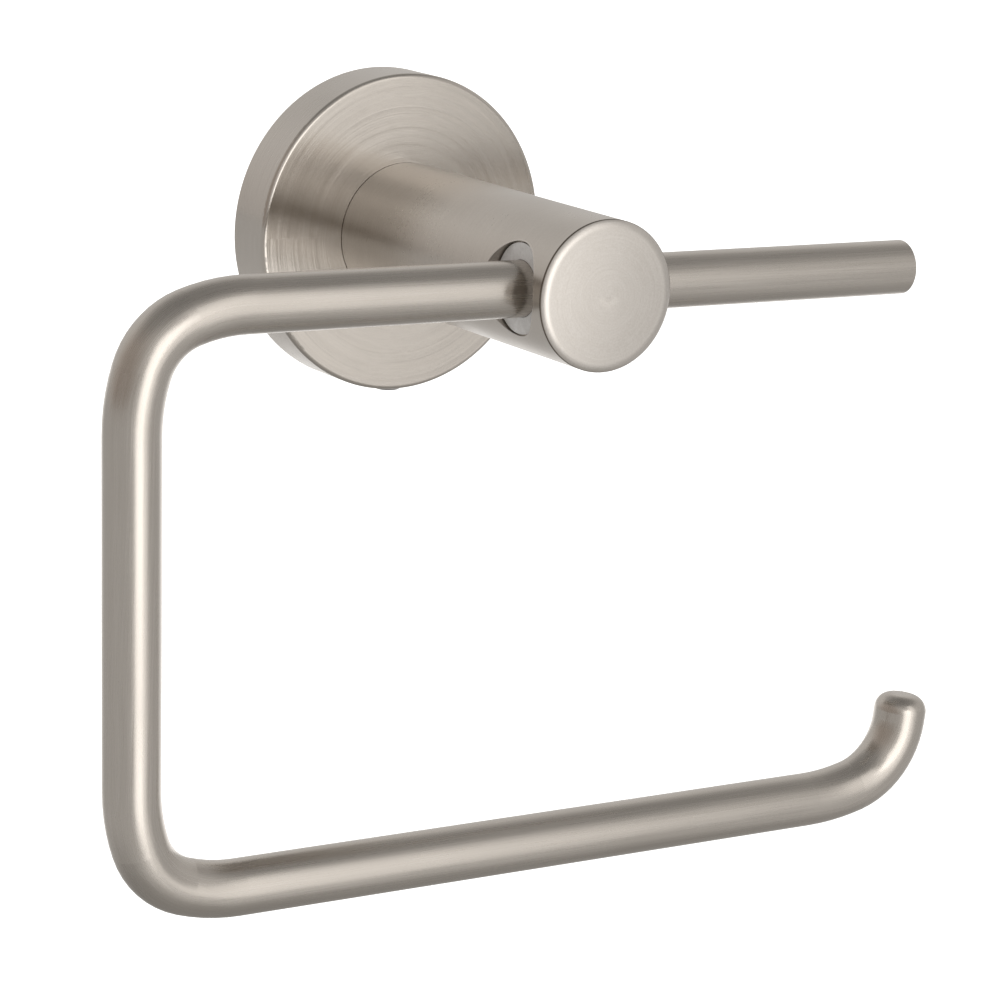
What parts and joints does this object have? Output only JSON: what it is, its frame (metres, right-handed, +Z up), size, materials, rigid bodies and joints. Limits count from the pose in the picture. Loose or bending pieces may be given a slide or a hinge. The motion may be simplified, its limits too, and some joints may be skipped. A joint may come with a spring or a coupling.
{
  "type": "toilet paper holder",
  "caption": "Wall-mounted toilet paper holder: round flange, straight post and a pivoting open hook bent from one round rod.",
  "frame": {"origin": "on the wall plane at the centre of the flange, between the two wall fixings", "axes": "+X along the bar towards its short free end, +Y into the wall, +Z up; the holder comes out into the room along -Y"},
  "size_m": [0.1671, 0.1046, 0.1303],
  "materials": {
    "satin_nickel": "brushed nickel plate, warm grey",
    "cast_zinc": "plain zinc die casting",
    "zinc_plated_steel": "bright zinc-plated fasteners",
    "stainless_steel": "plain stainless set screws",
    "grey_acetal": "turned acetal, light grey"
  },
  "bodies": {
    "wall_mount": {"mounting_bracket": "cast_zinc", "wall_screws": "zinc_plated_steel", "flange": "satin_nickel", "flange_set_screw": "stainless_steel", "post": "satin_nickel", "front_cap": "satin_nickel", "post_screw": "zinc_plated_steel", "lock_washer": "zinc_plated_steel", "anti_turn_pin": "stainless_steel", "pivot_bushes": "grey_acetal", "retaining_screw": "stainless_steel"},
    "hook": {"hook_bar": "satin_nickel"}
  },
  "joints": [
    {"name": "hook_swing", "type": "hinge", "parent": "wall_mount", "child": "hook", "pos_m": [0, -0.0659, 0], "axis": [-1, 0, 0], "range_deg": [-15, 90]}
  ]
}
